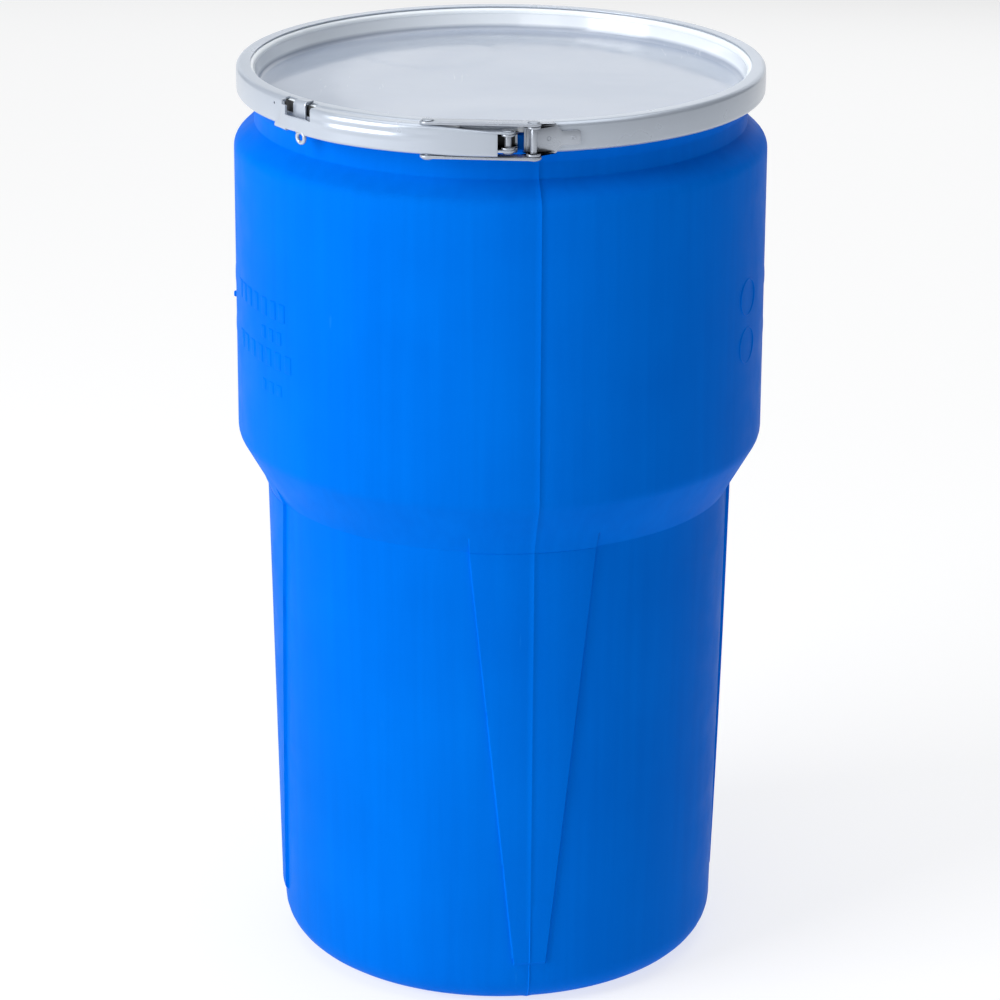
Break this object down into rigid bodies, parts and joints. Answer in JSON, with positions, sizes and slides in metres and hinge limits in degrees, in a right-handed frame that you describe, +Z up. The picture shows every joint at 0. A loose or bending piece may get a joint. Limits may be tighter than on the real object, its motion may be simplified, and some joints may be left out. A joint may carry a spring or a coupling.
{
  "type": "plastic open head drum",
  "caption": "Tapered plastic open-head drum with a stepped nesting body, a recessed lift-off lid and a steel closing ring locked by an over-centre lever.",
  "frame": {"origin": "floor plane at the drum's axis, at the bottom centre", "axes": "+Z up along the drum's axis; -Y towards the front, where the lever lock is; +X towards the right-hand side"},
  "size_m": [0.3902, 0.3958, 0.6817],
  "materials": {
    "body_plastic": "satin blow-moulded",
    "lid_plastic": "glossy pale grey",
    "gasket_rubber": "matte",
    "ring_steel": "pale grey satin paint over galvanised sheet",
    "lock_steel": "zinc plated"
  },
  "bodies": {
    "drum": {"drum_body": "body_plastic"},
    "lid": {"lid_cover": "lid_plastic", "lid_gasket": "gasket_rubber"},
    "ring": {"ring_band_left": "ring_steel", "fulcrum_bracket": "lock_steel", "seal_tab": "ring_steel", "fulcrum_pin": "lock_steel"},
    "catch": {"ring_band_right": "ring_steel", "catch_bracket": "lock_steel", "catch_pin": "lock_steel"},
    "lever": {"lever": "ring_steel", "lever_rivet": "lock_steel"},
    "link": {"link_top": "lock_steel", "link_bottom": "lock_steel", "catch_head_top": "lock_steel", "catch_head_bottom": "lock_steel"}
  },
  "joints": [
    {"name": "lever_swing", "type": "hinge", "parent": "ring", "child": "lever", "pos_m": [0.00498, -0.19684, 0.6675], "axis": [0, 0, 1], "range_deg": [0, 150]},
    {"name": "link_swing", "type": "hinge", "parent": "lever", "child": "link", "pos_m": [-0.0493, -0.19063, 0.6675], "axis": [0, 0, 1], "range_deg": [-105.08, 0]},
    {"name": "band_spread", "type": "hinge", "parent": "ring", "child": "catch", "pos_m": [0, 0.191, 0.6675], "axis": [0, 0, 1], "range_deg": [0, 12.16], "deforming": ["ring_band_left", "ring_band_right"]},
    {"name": "ring_lift", "type": "slide", "parent": "drum", "child": "ring", "axis": [0, 0, 1], "range_m": [0, 0.36]},
    {"name": "lid_lift", "type": "slide", "parent": "drum", "child": "lid", "axis": [0, 0, 1], "range_m": [0, 0.25]}
  ],
  "couplings": [
    {"joint": "link_swing", "follows": "lever_swing", "ratio": -0.70023},
    {"joint": "band_spread", "follows": "lever_swing", "ratio": 0.080913}
  ]
}
